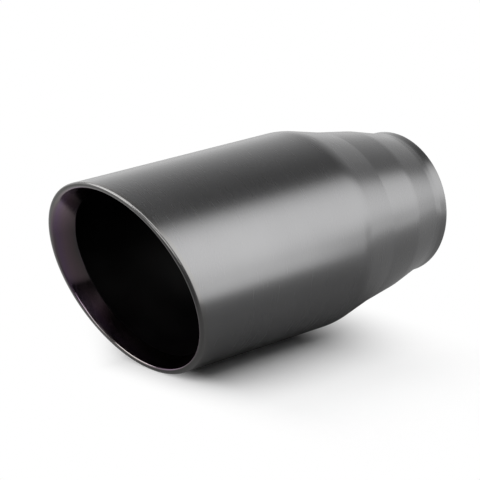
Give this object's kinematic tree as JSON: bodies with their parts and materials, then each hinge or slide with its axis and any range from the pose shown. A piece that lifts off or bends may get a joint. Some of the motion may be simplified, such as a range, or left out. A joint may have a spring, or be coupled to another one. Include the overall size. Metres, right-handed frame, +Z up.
{
  "type": "exhaust tip",
  "caption": "Round slash-cut exhaust tip: one satin black steel tube with a folded-in lip, necked down to a short collar that slips over a tailpipe.",
  "frame": {"origin": "centre of the inlet face, where the tip's bore opens for the tailpipe", "axes": "+X runs out of the inlet along the tailpipe, the mouth faces -X, and +Z is up with the long lip on top"},
  "size_m": [0.185, 0.09, 0.09],
  "materials": {
    "satin_steel": "dark satin metal coat over finely brushed steel, near black inside, with a faint purple tint on the folded leg"
  },
  "bodies": {
    "root": {"tip_shell": "satin_steel"}
  },
  "joints": []
}
